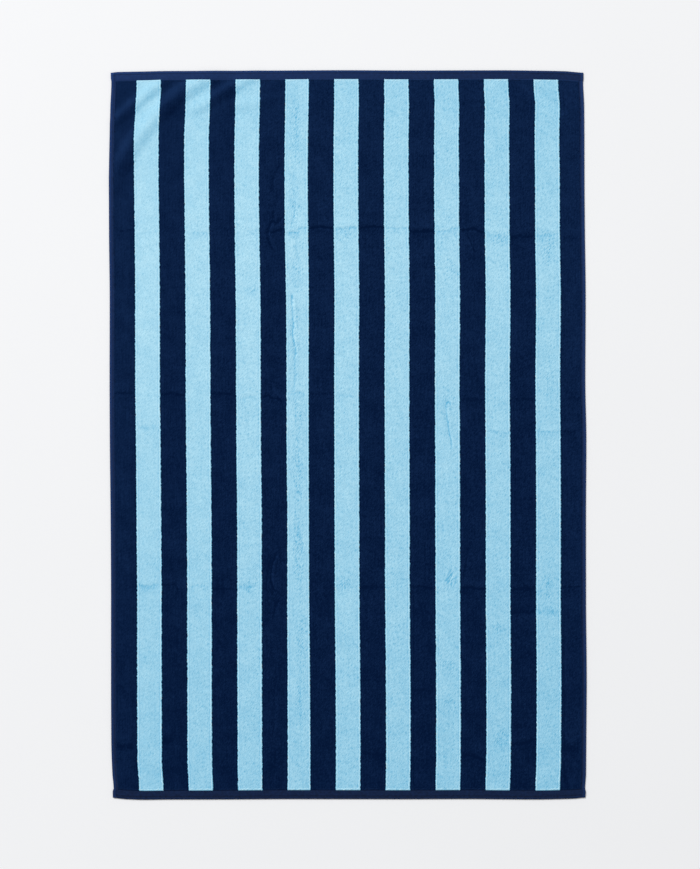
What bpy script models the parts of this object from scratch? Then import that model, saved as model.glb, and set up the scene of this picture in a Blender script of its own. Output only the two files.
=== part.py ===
"""Striped beach towel, spread out flat on a level surface with its sheared side up.

The towel is one piece of cloth, so it is one closed solid: a sheet with a thicker pile field,
thinner flat-woven hems round it, the marks left by its old folds, and the soft raised folds
that run off its corner. Its underside is flat where it lies on the surface.

Frame: metres. The origin is on the surface, under the middle of the towel.
+X runs across the towel, +Y along it to the top end, +Z up.
"""
import bisect
import math
from collections import namedtuple

import bmesh
import bpy
from mathutils import Vector

MM = 0.001

# ---- Driving dimensions

TOWEL_WIDTH = 1.0046        # greatest width across the stripes
TOWEL_LENGTH = 1.5356       # greatest length along the stripes
PILE_THICKNESS = 0.0036     # ground weave, loops below and sheared pile above
HEM_THICKNESS = 0.0026      # flat-woven cloth, turned twice and sewn
END_HEM_WIDTH = 0.0180      # hem across each end
SIDE_HEM_WIDTH = 0.0080     # hem along each side
PILE_STEP_RUN = 0.0020      # width of the slope from a hem up to the pile
EDGE_ROUND = 0.0009         # how far the turned edge rounds in, above and below
FOLD_MARK_HALF_WIDTH = 0.0100   # an old fold's ridge, from its crest to its foot
CREASE_HALF_WIDTH = 0.0070      # a lengthwise crease's trough, from its bottom to its rim
SHARP_ANGLE = math.radians(40)  # a steeper edge than this is shaded sharp
FLAT_ANGLE = math.radians(0.05)     # underside faces this near to level are one flat face

HALF_WIDTH = TOWEL_WIDTH / 2
HALF_LENGTH = TOWEL_LENGTH / 2

# ---- Outline, in mm
# How far the sides are drawn in from the greatest width. Behind each end hem the pile pulls the
# cloth in, so the ends of the hem stand out.

SideRow = namedtuple("SideRow", "along left_inset right_inset")
SIDE_EDGES = (
    SideRow(-768, 8.5, 3.0),
    SideRow(-750, 8.1, 1.8),
    SideRow(-744, 10.2, 3.3),
    SideRow(-714, 7.5, 1.5),
    SideRow(-644, 5.1, 0.9),
    SideRow(-516, 4.5, 0.0),
    SideRow(-348, 4.5, 1.5),
    SideRow(-179, 3.7, 1.6),
    SideRow(-11, 2.0, 0.8),
    SideRow(116, 1.5, 3.0),
    SideRow(284, 1.8, 2.2),
    SideRow(427, 0.3, 3.8),
    SideRow(537, 0.0, 4.7),
    SideRow(621, 1.4, 4.9),
    SideRow(694, 3.3, 5.4),
    SideRow(744, 5.3, 7.6),
    SideRow(750, 4.1, 6.8),
    SideRow(768, 3.9, 6.8),
)

# How far the ends are drawn in from the greatest length: they bow out a little in the middle.

EndRow = namedtuple("EndRow", "across bottom_inset top_inset")
END_EDGES = (
    EndRow(-500, 4.9, 5.4),
    EndRow(-484, 2.9, 3.7),
    EndRow(-469, 1.4, 3.4),
    EndRow(-427, 0.0, 2.6),
    EndRow(-385, 0.5, 1.7),
    EndRow(-258, 0.8, 1.2),
    EndRow(-132, 1.6, 0.6),
    EndRow(-6, 1.5, 0.0),
    EndRow(120, 1.3, 0.6),
    EndRow(246, 1.7, 0.3),
    EndRow(330, 1.1, 0.2),
    EndRow(394, 0.7, 0.9),
    EndRow(457, 1.8, 2.1),
    EndRow(478, 2.5, 3.9),
    EndRow(500, 4.7, 5.5),
)

# ---- Marks of the old folds, in mm
# The towel was kept folded across its length. Each fold left a low uneven ridge in the pile.

FoldRow = namedtuple("FoldRow", "across along height")
FOLD_MARKS = {
    "low": (
        FoldRow(-500, -651, 0.6),
        FoldRow(-385, -651, 0.7),
        FoldRow(-181, -664, 0.4),
        FoldRow(26, -676, 0.4),
        FoldRow(173, -678, 0.5),
        FoldRow(268, -676, 0.8),
        FoldRow(320, -655, 0.7),
        FoldRow(394, -653, 0.8),
        FoldRow(500, -647, 0.6),
    ),
    "lower": (
        FoldRow(-500, -312, 0.7),
        FoldRow(-396, -311, 1.0),
        FoldRow(-262, -318, 0.9),
        FoldRow(-181, -315, 0.9),
        FoldRow(-58, -312, 0.6),
        FoldRow(52, -312, 0.7),
        FoldRow(156, -317, 0.9),
        FoldRow(206, -314, 0.8),
        FoldRow(263, -319, 1.5),
        FoldRow(316, -314, 1.0),
        FoldRow(367, -319, 1.4),
        FoldRow(422, -313, 1.0),
        FoldRow(500, -312, 0.8),
    ),
    "middle": (
        FoldRow(-500, 18, 0.6),
        FoldRow(-417, 24, 0.8),
        FoldRow(-343, 22, 0.6),
        FoldRow(-227, 18, 0.3),
        FoldRow(110, 14, 0.2),
        FoldRow(278, 10, 0.6),
        FoldRow(404, 8, 0.9),
        FoldRow(500, 10, 0.8),
    ),
    "upper_middle": (
        FoldRow(-500, 87, 0.7),
        FoldRow(-369, 89, 1.0),
        FoldRow(-262, 90, 0.9),
        FoldRow(-156, 85, 1.2),
        FoldRow(-58, 89, 0.9),
        FoldRow(50, 87, 0.7),
        FoldRow(103, 86, 0.5),
        FoldRow(156, 84, 0.9),
        FoldRow(263, 79, 0.8),
        FoldRow(367, 77, 0.7),
        FoldRow(500, 79, 0.6),
    ),
    "upper": (
        FoldRow(-500, 435, 0.4),
        FoldRow(-366, 432, 0.6),
        FoldRow(-315, 429, 0.6),
        FoldRow(-210, 433, 0.6),
        FoldRow(-105, 437, 1.0),
        FoldRow(-57, 439, 1.5),
        FoldRow(-2, 439, 1.2),
        FoldRow(51, 442, 1.4),
        FoldRow(103, 439, 1.2),
        FoldRow(154, 437, 1.5),
        FoldRow(209, 437, 0.9),
        FoldRow(261, 435, 1.3),
        FoldRow(314, 425, 1.0),
        FoldRow(366, 430, 1.4),
        FoldRow(419, 426, 1.2),
        FoldRow(500, 424, 0.8),
    ),
}

# ---- Lengthwise creases, in mm
# The long one runs the whole towel through a light stripe. The short one lies right of centre.

CreaseRow = namedtuple("CreaseRow", "along across depth")
LONG_CREASE = (
    CreaseRow(-768, -98, 0.0),
    CreaseRow(-737, -98, 0.7),
    CreaseRow(-664, -99, 0.9),
    CreaseRow(-559, -99, 1.1),
    CreaseRow(-474, -98, 1.0),
    CreaseRow(-390, -95, 0.7),
    CreaseRow(-201, -106, 0.9),
    CreaseRow(-53, -102, 0.8),
    CreaseRow(41, -109, 0.6),
    CreaseRow(157, -109, 1.3),
    CreaseRow(241, -112, 1.6),
    CreaseRow(368, -111, 0.6),
    CreaseRow(515, -109, 1.1),
    CreaseRow(599, -106, 1.1),
    CreaseRow(725, -107, 0.8),
    CreaseRow(768, -107, 0.0),
)
SHORT_CREASE = (
    CreaseRow(-36, 220, 0.0),
    CreaseRow(0, 214, 1.0),
    CreaseRow(50, 208, 1.2),
    CreaseRow(92, 203, 0.0),
)

# ---- Raised folds at the corners, in mm
# Each runs from one place to another beside a straight line, bowed out towards its corner, and
# fades at both ends. It stands up off the surface by its height, and the last one is a dip.

CornerFold = namedtuple("CornerFold", "start_x start_y end_x end_y bow height half_width")
CORNER_FOLDS = (
    CornerFold(-287, 766, -510, 500, 37, 3.4, 27),
    CornerFold(-366, 766, -513, 629, 12, 3.0, 21),
    CornerFold(-190, 758, -312, 668, 12, 2.2, 21),
    CornerFold(352, 757, 456, 675, 0, -1.4, 14),
)

# ---- Mesh lines, steps between one key line and the next

CORNER_COLUMN_END = -0.190      # right of this the columns are wider apart
CORNER_ROW_START = 0.490        # above this the rows are closer together
CORNER_COLUMN_STEPS = 26
CENTRE_LEFT_STEPS = 3
CENTRE_RIGHT_STEPS = 7
RIGHT_STEPS = 8
SHORT_CREASE_COLUMNS = (0.196, 0.212, 0.227)
CORNER_ROW_STEPS = 22
ROW_STEPS_ABOVE = {"low": 7, "lower": 7, "middle": 2, "upper_middle": 7, "upper": 2}
ROW_STEPS_BELOW_LOW = 3

TOWEL_COLOUR = (0.0037, 0.0137, 0.0578, 1.0)    # navy of the wider stripes, linear
TOWEL_ROUGHNESS = 0.95


class SmoothLine:
    """Smooth curve through rows of places and values, in metres, that never overshoots a row."""

    def __init__(self, places, values):
        self.places = [place * MM for place in places]
        self.values = [value * MM for value in values]
        grades = [
            (value_b - value_a) / (place_b - place_a)
            for place_a, place_b, value_a, value_b in zip(
                self.places, self.places[1:], self.values, self.values[1:]
            )
        ]
        self.slopes = [0.0]
        for before, after in zip(grades, grades[1:]):
            same_way = before * after > 0.0
            self.slopes.append(2 * before * after / (before + after) if same_way else 0.0)
        self.slopes.append(0.0)

    def __call__(self, place):
        last = len(self.places) - 1
        k = min(max(bisect.bisect(self.places, place), 1), last)
        span = self.places[k] - self.places[k - 1]
        p = min(max((place - self.places[k - 1]) / span, 0.0), 1.0)
        rise = p * p * (3 - 2 * p)
        leave = p * (1 - p) ** 2 * span * self.slopes[k - 1]
        arrive = p * p * (p - 1) * span * self.slopes[k]
        return self.values[k - 1] * (1 - rise) + self.values[k] * rise + leave + arrive


def column(rows, name):
    """One named column of a table."""
    return [getattr(row, name) for row in rows]


def rounded(distance, half_width):
    """Profile of a ridge or a trough: 1 in the middle, 0 from half_width outwards."""
    s = min(abs(distance) / half_width, 1.0)
    return (1 - s * s) ** 2


# ---- Lines that the shape follows

LEFT_INSET = SmoothLine(column(SIDE_EDGES, "along"), column(SIDE_EDGES, "left_inset"))
RIGHT_INSET = SmoothLine(column(SIDE_EDGES, "along"), column(SIDE_EDGES, "right_inset"))
BOTTOM_INSET = SmoothLine(column(END_EDGES, "across"), column(END_EDGES, "bottom_inset"))
TOP_INSET = SmoothLine(column(END_EDGES, "across"), column(END_EDGES, "top_inset"))
FOLD_LINES = {
    name: SmoothLine(column(rows, "across"), column(rows, "along"))
    for name, rows in FOLD_MARKS.items()
}
FOLD_HEIGHTS = {
    name: SmoothLine(column(rows, "across"), column(rows, "height"))
    for name, rows in FOLD_MARKS.items()
}
CREASES = [
    (
        SmoothLine(column(rows, "along"), column(rows, "across")),
        SmoothLine(column(rows, "along"), column(rows, "depth")),
    )
    for rows in (LONG_CREASE, SHORT_CREASE)
]


def left_edge(along):
    return -HALF_WIDTH + LEFT_INSET(along)


def right_edge(along):
    return HALF_WIDTH - RIGHT_INSET(along)


def bottom_edge(across):
    return -HALF_LENGTH + BOTTOM_INSET(across)


def top_edge(across):
    return HALF_LENGTH - TOP_INSET(across)


# ---- Height of the cloth

def corner_lift(x, y):
    """How far the corner folds hold the cloth up at a place, below zero in a dip."""
    lift = 0.0
    for fold in CORNER_FOLDS:
        start = Vector((fold.start_x, fold.start_y)) * MM
        run = Vector((fold.end_x, fold.end_y)) * MM - start
        forward = run.normalized()
        outward = Vector((forward.y, -forward.x))
        here = Vector((x, y)) - start
        p = here.dot(forward) / run.length
        if 0.0 < p < 1.0:
            bow = fold.bow * MM * 4 * p * (1 - p)
            fade = 1 - (2 * p - 1) ** 4
            aside = here.dot(outward) - bow
            lift += fold.height * MM * fade * rounded(aside, fold.half_width * MM)
    return lift


def pressed_relief(x, y):
    """Height of the pile's surface over its usual level: fold ridges less crease troughs."""
    ridge = max(
        FOLD_HEIGHTS[name](x) * rounded(y - line(x), FOLD_MARK_HALF_WIDTH)
        for name, line in FOLD_LINES.items()
    )
    trough = max(
        depth(y) * rounded(x - line(y), CREASE_HALF_WIDTH)
        for line, depth in CREASES
    )
    return ridge - trough


def thickness(x, y):
    """Thickness of the cloth: hem round the edge, then a short slope up to the pile."""
    past_side_hem = min(x - left_edge(y), right_edge(y) - x) - SIDE_HEM_WIDTH
    past_end_hem = min(y - bottom_edge(x), top_edge(x) - y) - END_HEM_WIDTH
    pile_share = min(max(min(past_side_hem, past_end_hem) / PILE_STEP_RUN, 0.0), 1.0)
    pile = PILE_THICKNESS + pressed_relief(x, y)
    return HEM_THICKNESS + (pile - HEM_THICKNESS) * pile_share


def underside_height(x, y):
    return max(corner_lift(x, y), 0.0)


def top_height(x, y):
    return corner_lift(x, y) + thickness(x, y)


# ---- Mesh lines

def shifted(line, offset):
    """The line that runs beside another one, at a distance."""
    return lambda place: line(place) + offset


def level(value):
    """A straight line."""
    return lambda place: value


def band(line, half_width, steps_after):
    """Key lines of a ridge or a trough: its middle, the middles of its slopes and its feet."""
    offsets = (-half_width, -half_width / 2, 0.0, half_width / 2)
    keys = [(shifted(line, offset), 1) for offset in offsets]
    keys.append((shifted(line, half_width), steps_after))
    return keys


def hem_keys(edge, hem_width, inward, steps_after):
    """Key lines of a hem: its rounded edge, its sewn line and the foot of the pile."""
    offsets = (EDGE_ROUND, hem_width, hem_width + PILE_STEP_RUN)
    keys = [(shifted(edge, inward * offset), 1) for offset in offsets]
    if inward > 0:
        keys[-1] = (keys[-1][0], steps_after)
        return keys
    return keys[::-1]


def column_keys():
    """Key lines across the towel, from left to right, each with the steps to the next."""
    keys = hem_keys(left_edge, SIDE_HEM_WIDTH, 1, CORNER_COLUMN_STEPS)
    keys.append((level(CORNER_COLUMN_END), CENTRE_LEFT_STEPS))
    keys += band(CREASES[0][0], CREASE_HALF_WIDTH, CENTRE_RIGHT_STEPS)
    keys += [(level(place), 1) for place in SHORT_CREASE_COLUMNS[:-1]]
    keys.append((level(SHORT_CREASE_COLUMNS[-1]), RIGHT_STEPS))
    keys += hem_keys(right_edge, SIDE_HEM_WIDTH, -1, 1)
    return keys


def row_keys():
    """Key lines along the towel, from the bottom end to the top, each with the steps after it."""
    keys = hem_keys(bottom_edge, END_HEM_WIDTH, 1, ROW_STEPS_BELOW_LOW)
    for name, line in FOLD_LINES.items():
        keys += band(line, FOLD_MARK_HALF_WIDTH, ROW_STEPS_ABOVE[name])
    keys.append((level(CORNER_ROW_START), CORNER_ROW_STEPS))
    keys += hem_keys(top_edge, END_HEM_WIDTH, -1, 1)
    return keys


def places(keys, at):
    """Places of all mesh lines that cross the line at a place, filled in between key lines."""
    found = []
    for (line, steps), (next_line, _) in zip(keys, keys[1:]):
        start = line(at)
        step = (next_line(at) - start) / steps
        found += [start + step * count for count in range(steps)]
    found.append(keys[-1][0](at))
    return found


def grid_places():
    """Where the mesh lines cross: rows of (x, y), from the bottom left."""
    columns = column_keys()
    rows = row_keys()
    straight_columns = places(columns, 0.0)
    row_places = [places(rows, x) for x in straight_columns]
    grid = []
    for j in range(len(row_places[0])):
        row = []
        for i, x in enumerate(straight_columns):
            y = row_places[i][j]
            x = places(columns, y)[i]
            row.append((x, places(rows, x)[j]))
        grid.append(row)
    return grid


def build_towel_mesh():
    """The towel's closed mesh: top, underside and rounded edge."""
    bm = bmesh.new()
    grid = grid_places()
    row_count = len(grid)
    column_count = len(grid[0])
    top = [[bm.verts.new((x, y, top_height(x, y))) for x, y in row] for row in grid]
    under = [[bm.verts.new((x, y, underside_height(x, y))) for x, y in row] for row in grid]

    flat_faces = []
    for j in range(row_count - 1):
        for i in range(column_count - 1):
            bm.faces.new((top[j][i], top[j][i + 1], top[j + 1][i + 1], top[j + 1][i]))
            corners = (under[j][i], under[j + 1][i], under[j + 1][i + 1], under[j][i + 1])
            face = bm.faces.new(corners)
            if all(corner.co.z == 0.0 for corner in corners):
                flat_faces.append(face)

    last_row = row_count - 1
    last_column = column_count - 1
    rim = [(0, i) for i in range(last_column)]
    rim += [(j, last_column) for j in range(last_row)]
    rim += [(last_row, i) for i in range(last_column, 0, -1)]
    rim += [(j, 0) for j in range(last_row, 0, -1)]
    outer = []
    for j, i in rim:
        x, y = grid[j][i]
        out_x = EDGE_ROUND * ((i == last_column) - (i == 0))
        out_y = EDGE_ROUND * ((j == last_row) - (j == 0))
        middle = (top[j][i].co.z + under[j][i].co.z) / 2
        outer.append(bm.verts.new((x + out_x, y + out_y, middle)))
    for k, (j, i) in enumerate(rim):
        after = (k + 1) % len(rim)
        next_j, next_i = rim[after]
        bm.faces.new((under[j][i], under[next_j][next_i], outer[after], outer[k]))
        bm.faces.new((outer[k], outer[after], top[next_j][next_i], top[j][i]))

    bm.normal_update()
    flat_edges = {edge for face in flat_faces for edge in face.edges}
    flat_verts = {vert for face in flat_faces for vert in face.verts}
    bmesh.ops.dissolve_limit(
        bm,
        angle_limit=FLAT_ANGLE,
        verts=list(flat_verts),
        edges=list(flat_edges),
    )
    mesh = bpy.data.meshes.new("towel")
    bm.to_mesh(mesh)
    bm.free()
    mesh.shade_smooth()
    mesh.set_sharp_from_angle(angle=SHARP_ANGLE)
    return mesh


def towel_material():
    """Sheared cotton terry."""
    material = bpy.data.materials.new("towel_cloth")
    material.use_nodes = True
    shader = material.node_tree.nodes["Principled BSDF"]
    shader.inputs["Base Color"].default_value = TOWEL_COLOUR
    shader.inputs["Roughness"].default_value = TOWEL_ROUGHNESS
    shader.inputs["Metallic"].default_value = 0.0
    return material


def clear_scene():
    for item in list(bpy.data.objects):
        bpy.data.objects.remove(item, do_unlink=True)


def main():
    clear_scene()
    towel = bpy.data.objects.new("towel", build_towel_mesh())
    towel.data.materials.append(towel_material())
    bpy.context.collection.objects.link(towel)


main()
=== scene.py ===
"""Striped velour beach towel, spread out flat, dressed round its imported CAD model.

The cloth is one closed sheet whose top follows the old folds, the creases and the raised corner
folds. Pile tufts edge every stripe, and rows of stitches hold the hems. Sizes are real ones.
"""
import math
from functools import partial

import bpy
import numpy as np
from bpy.props import FloatProperty, FloatVectorProperty, IntProperty, PointerProperty
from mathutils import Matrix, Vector


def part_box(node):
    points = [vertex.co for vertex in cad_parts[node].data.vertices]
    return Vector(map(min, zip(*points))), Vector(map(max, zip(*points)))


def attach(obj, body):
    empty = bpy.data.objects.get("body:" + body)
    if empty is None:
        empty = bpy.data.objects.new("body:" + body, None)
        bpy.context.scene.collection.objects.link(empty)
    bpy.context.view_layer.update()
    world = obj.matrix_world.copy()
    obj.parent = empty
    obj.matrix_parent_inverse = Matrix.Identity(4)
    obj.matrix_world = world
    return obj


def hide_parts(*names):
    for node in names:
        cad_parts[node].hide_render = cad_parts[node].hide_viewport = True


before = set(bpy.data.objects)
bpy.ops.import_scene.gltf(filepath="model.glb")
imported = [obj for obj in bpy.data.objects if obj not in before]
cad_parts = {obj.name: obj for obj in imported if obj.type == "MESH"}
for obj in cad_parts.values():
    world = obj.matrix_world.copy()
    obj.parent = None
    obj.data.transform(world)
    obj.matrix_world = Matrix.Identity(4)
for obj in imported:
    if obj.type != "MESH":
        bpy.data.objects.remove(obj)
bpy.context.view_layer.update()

bl_info = {
    "name": "Striped Beach Towel",
    "version": (1, 0, 0),
    "blender": (4, 5, 0),
    "location": "3D View > Sidebar > Beach Towel",
    "description": "Makes a striped velour beach towel on its CAD model, with its floor and light",
    "category": "Object",
}

MM = 0.001
ROUNDING = 1e-9             # how far rounding may put a share past 0 or 1
BODY = "root"
NODE = "towel"
CLOTH_MAP = "cloth"         # UV map: place on the flat cloth, in metres from its lower left corner

BOX_LOW, BOX_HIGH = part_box(NODE)
HALF_WIDTH = (BOX_HIGH[0] - BOX_LOW[0]) / 2
HALF_LENGTH = (BOX_HIGH[1] - BOX_LOW[1]) / 2

STRIPE_COUNT = 19
FLAT_LENGTH = 1.540

# ---- Outline, in mm: how far the edges are drawn in from the towel's greatest width and length

SIDE_EDGES = (              # place along the towel, inset of its left side, and of its right
    (-768, 7.5, 3.0),
    (-750, 7.1, 1.8),
    (-744, 9.2, 3.3),
    (-714, 6.5, 1.5),
    (-644, 4.1, 0.9),
    (-516, 3.5, 0.0),
    (-348, 3.5, 1.5),
    (-179, 2.7, 1.6),
    (-11, 1.0, 0.8),
    (116, 0.5, 3.0),
    (284, 0.8, 2.2),
    (427, -0.7, 3.8),
    (537, -1.0, 4.7),
    (621, 0.4, 4.9),
    (694, 2.3, 5.4),
    (744, 4.3, 7.6),
    (750, 3.1, 6.8),
    (768, 2.9, 6.8),
)
END_EDGES = (               # place across it, inset of its bottom end, and of its top
    (-500, 4.9, 5.4),
    (-484, 2.9, 3.7),
    (-469, 1.4, 3.4),
    (-427, 0.0, 2.6),
    (-385, 0.5, 1.7),
    (-258, 0.8, 1.2),
    (-132, 1.6, 0.6),
    (-6, 1.5, 0.0),
    (120, 1.3, 0.6),
    (246, 1.7, 0.3),
    (330, 1.1, 0.2),
    (394, 0.7, 0.9),
    (457, 1.8, 2.1),
    (478, 2.5, 3.9),
    (500, 4.7, 5.5),
)

# ---- How the cloth has crept, in mm: how far four stripe edges lie to the right of their even
# places. They are the outermost stripe edges and the two beside the long crease.

CREPT_EDGES = (-8.5, -2.5, -1.5, 8.5)       # their even places, in stripes from the middle
STRIPE_CREEP = (            # place along the towel, and how far each of the four has crept
    (-768, 8.9, 4.5, 0.6, -2.4),
    (-744, 8.9, 4.5, 0.6, -2.4),
    (-685, 5.5, 4.8, 0.6, -0.2),
    (-516, 4.8, 4.5, -0.2, 0.6),
    (-348, 4.8, 3.9, -1.8, -0.5),
    (-180, 3.5, 4.1, -2.5, -0.3),
    (-11, 2.3, 2.4, -2.9, -0.9),
    (115, 0.7, 2.3, -3.1, -1.9),
    (283, 0.6, 1.3, -2.7, -0.5),
    (427, -0.3, -1.3, -4.0, -2.5),
    (536, -1.7, -2.0, -4.8, -2.7),
    (620, -2.0, -1.6, -4.4, -3.7),
    (694, 1.8, -0.5, -3.2, -2.8),
    (736, 3.7, -0.3, -2.8, -6.1),
    (768, 3.7, -0.3, -2.8, -6.1),
)

# ---- Marks pressed into the pile, in mm: where the towel was folded, and creases and wrinkles
# beside them. Each row gives a mark's strength, the half width of its dark middle, and the x and
# y of each place on its line. Its middle is painted darker as shade in its crease, speckled where
# the pile is crushed, its left as it runs gets a painted highlight, and a crosswise mark lays
# painted shade on its right.

MARKS = (
    # The crosswise fold nearest the top end.
    (0.3, 6.0, -494, 429, -450, 431),
    (0.3, 4.0, -444, 424, -398, 429),
    (0.5, 4.0, -334, 423, -313, 426, -290, 424),
    (0.2, 4.0, -286, 435, -238, 433),
    (0.5, 3.0, -219, 429, -202, 429, -185, 432),
    (0.4, 3.0, -212, 460, -204, 446, -193, 433),
    (1.2, 3.0, -128, 425, -116, 426, -101, 425),
    (0.9, 2.5, -109, 434, -99, 435, -82, 436),
    (1.2, 3.5, -82, 434, -67, 437, -55, 438, -42, 436, -29, 433),
    (1.0, 3.0, -29, 433, -6, 433, 9, 437, 23, 435),
    (1.1, 3.5, 23, 435, 42, 438, 57, 439, 78, 436),
    (0.8, 2.6, 78, 435, 105, 434, 114, 440),
    (0.9, 2.6, 112, 433, 129, 436),
    (1.2, 5.0, 131, 428, 156, 428, 169, 429, 183, 430),
    (0.9, 2.6, 181, 428, 213, 429, 219, 435, 236, 435),
    (0.7, 2.6, 230, 408, 225, 420, 219, 433),
    (1.0, 4.0, 236, 431, 257, 433, 268, 434, 276, 429, 289, 424),
    (1.0, 2.6, 268, 382, 259, 403, 251, 422),
    (0.6, 5.5, 289, 420, 314, 419, 326, 414, 341, 416),
    (0.7, 9.0, 341, 414, 392, 418),
    (0.7, 4.5, 394, 424, 406, 418, 421, 423, 446, 420),
    (0.3, 9.0, 449, 414, 463, 412, 493, 416),
    # The next one down.
    (0.5, 4.0, -494, 87, -469, 89, -448, 88),
    (0.6, 4.0, -396, 83, -374, 88, -362, 87, -341, 81),
    (0.5, 4.0, -288, 88, -236, 86),
    (0.5, 4.0, -231, 71, -214, 79, -189, 81),
    (1.0, 3.5, -181, 79, -168, 83, -160, 78, -147, 77, -137, 67),
    (0.7, 2.6, -126, 86, -109, 88, -101, 91, -88, 83),
    (0.5, 3.5, -82, 86, -29, 87),
    (0.4, 3.0, -25, 83, 2, 85, 13, 77),
    (0.4, 6.0, 236, 75, 289, 73),
    (0.4, 6.0, 341, 74, 394, 75),
    (0.3, 6.0, 449, 77, 493, 77),
    # The faint one in the middle.
    (0.5, 7.0, -442, 18, -421, 16, -396, 20),
    (0.5, 4.0, 293, 10, 339, 3),
    (0.6, 3.0, 396, 8, 446, 5),
    (0.6, 4.0, 449, 8, 480, 6),
    # The fourth one.
    (0.8, 5.0, -446, -315, -425, -320, -412, -319, -396, -313),
    (0.4, 3.0, -393, -314, -364, -316),
    (0.7, 3.0, -362, -338, -358, -325, -366, -310),
    (0.4, 3.0, -337, -321, -311, -316, -290, -321),
    (0.6, 3.5, -286, -324, -246, -324),
    (0.6, 5.0, -233, -323, -214, -319, -189, -314),
    (0.4, 4.0, 25, -321, 57, -318, 78, -323),
    (0.8, 3.0, 131, -322, 154, -318, 177, -323),
    (1.1, 3.5, 236, -322, 257, -320, 270, -324, 289, -323),
    (0.8, 7.0, 341, -325, 392, -325),
    (0.6, 3.0, 396, -329, 417, -325, 423, -306),
    (0.5, 3.5, 449, -320, 493, -319),
    # The one nearest the bottom end.
    (0.6, 10.0, -492, -655, -450, -655),
    (0.5, 2.6, -433, -634, -419, -651, -414, -676),
    (0.7, 10.0, -393, -645, -368, -643),
    (0.4, 5.0, 28, -670, 78, -673),
    (0.6, 5.0, 236, -674, 257, -672, 274, -679, 289, -687),
    (0.9, 6.0, 341, -651, 362, -650, 377, -647, 394, -639),
    (0.6, 12.0, 449, -664, 489, -659),
    (0.8, 6.0, 457, -712, 463, -748),
    (0.5, 7.0, 444, -378, 392, -372, 341, -374),
    # The long lengthwise crease.
    (0.3, 5.0, -107, 738, -109, 715, -116, 692),
    (0.4, 4.5, -107, 688, -109, 658, -107, 633, -109, 608, -107, 578),
    (0.6, 3.5, -113, 553, -116, 528),
    (0.3, 4.5, -111, 528, -116, 494),
    (0.6, 2.4, -111, 507, -112, 464, -120, 439),
    (0.5, 3.0, -120, 498, -121, 464),
    (0.5, 4.0, -109, 414, -107, 389, -103, 359),
    (1.0, 2.6, -102, 347, -102, 334),
    (2.0, 2.7, -118, 298, -118, 273, -116, 252, -115, 231, -117, 214, -113, 195, -110, 174,
     -113, 159),
    (0.9, 2.8, -111, 163, -113, 147, -110, 132, -112, 115, -115, 88),
    (0.6, 4.0, -111, 77, -111, 37),
    (0.5, 3.0, -107, -3, -104, -26, -103, -49, -105, -79),
    (0.5, 3.0, -103, -100, -97, -142),
    (0.3, 4.0, -109, -112, -113, -148, -107, -188),
    (0.8, 2.6, -107, -180, -106, -194, -101, -207, -97, -228, -95, -251),
    (0.8, 2.4, -107, -199, -108, -234),
    (0.3, 2.6, -99, -424, -97, -458),
    (0.5, 3.0, -99, -483, -101, -516, -101, -548, -100, -569, -99, -596),
    (0.4, 3.0, -99, -592, -99, -632, -97, -664, -95, -735),
    # Wrinkles in the stripe left of it.
    (0.3, 4.0, -156, -533, -156, -626),
    (0.6, 4.0, -139, 574, -151, 555, -158, 540, -160, 511),
    (0.4, 4.0, -149, 498, -156, 469),
    (1.1, 3.5, -157, 473, -158, 452, -166, 437, -170, 422, -168, 410, -158, 389),
    (1.0, 3.0, -137, 458, -149, 446, -158, 437),
    (0.9, 4.0, -175, 424, -160, 427, -135, 433),
    (1.2, 2.2, -160, -253, -168, -281, -171, -306, -172, -321, -166, -335),
    (1.5, 2.4, -152, -251, -160, -276, -163, -302, -160, -316, -151, -333),
    (0.9, 3.5, -147, -344, -153, -365, -158, -384),
    (0.5, 3.0, -172, -344, -162, -365),
    # The short lengthwise crease.
    (1.2, 2.4, 212, 76, 215, 66, 215, 58),
    (1.9, 2.4, 213, 74, 208, 66, 206, 58, 207, 47, 209, 33, 211, 19, 213, 4, 217, -12, 218, -28),
    # Single wrinkles.
    (0.5, 3.5, 255, -228, 249, -268, 240, -306),
    (0.4, 3.0, 160, -232, 162, -312),
    (0.4, 3.0, 173, -232, 171, -312),
    (1.3, 1.7, -212, 296, -203, 301, -191, 312),
    (0.5, 1.8, -221, 302, -190, 320),
    (0.3, 4.0, 133, -537, 181, -537),
    (0.5, 2.0, 138, -330, 138, -745),
    (0.6, 2.0, 454, -380, 455, -745),
)
MARK_REACH = 5.0            # a mark fades out this many of its half widths away from its middle
PAINTED_SHADE_REACH = 13.0           # and its painted shade this far and two half widths away, in mm
MARK_END = 5.0              # and over this length at its ends, in mm
TROUGH_DEPTH = 0.25         # of the trough along a mark of full strength
RIDGE_HEIGHT = 0.22         # of the low ridge on a mark's paler side
RIDGE_PLACE = 2.2           # how far the ridge lies from the trough, in half widths
RIDGE_REACH = 2.6           # half the ridge's own width, in half widths of the mark
TROUGH_REACH = 1.6          # and half the trough's

# ---- Soft raised folds of the corners, in mm: each runs beside a straight line, bowed out to its
# right as it goes, and fades at both ends. A negative height is a dip.

CORNER_FOLDS = (            # x and y of its start and of its end, bow, height and half width
    (-246, 778, -505, 500, 43, 3.4, 26),
    (-372, 757, -508, 640, 4, 2.5, 18),
    (-170, 775, -340, 674, 0, 2.2, 19),
    (-105, 713, -265, 689, 0, 0.8, 17),
    (352, 757, 456, 675, 0, -1.4, 14),
)

# ---- Places where the pile was crushed in slanting strokes, and where it was worn in thinner and
# shorter ones, most of them along the long crease, in mm

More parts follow.
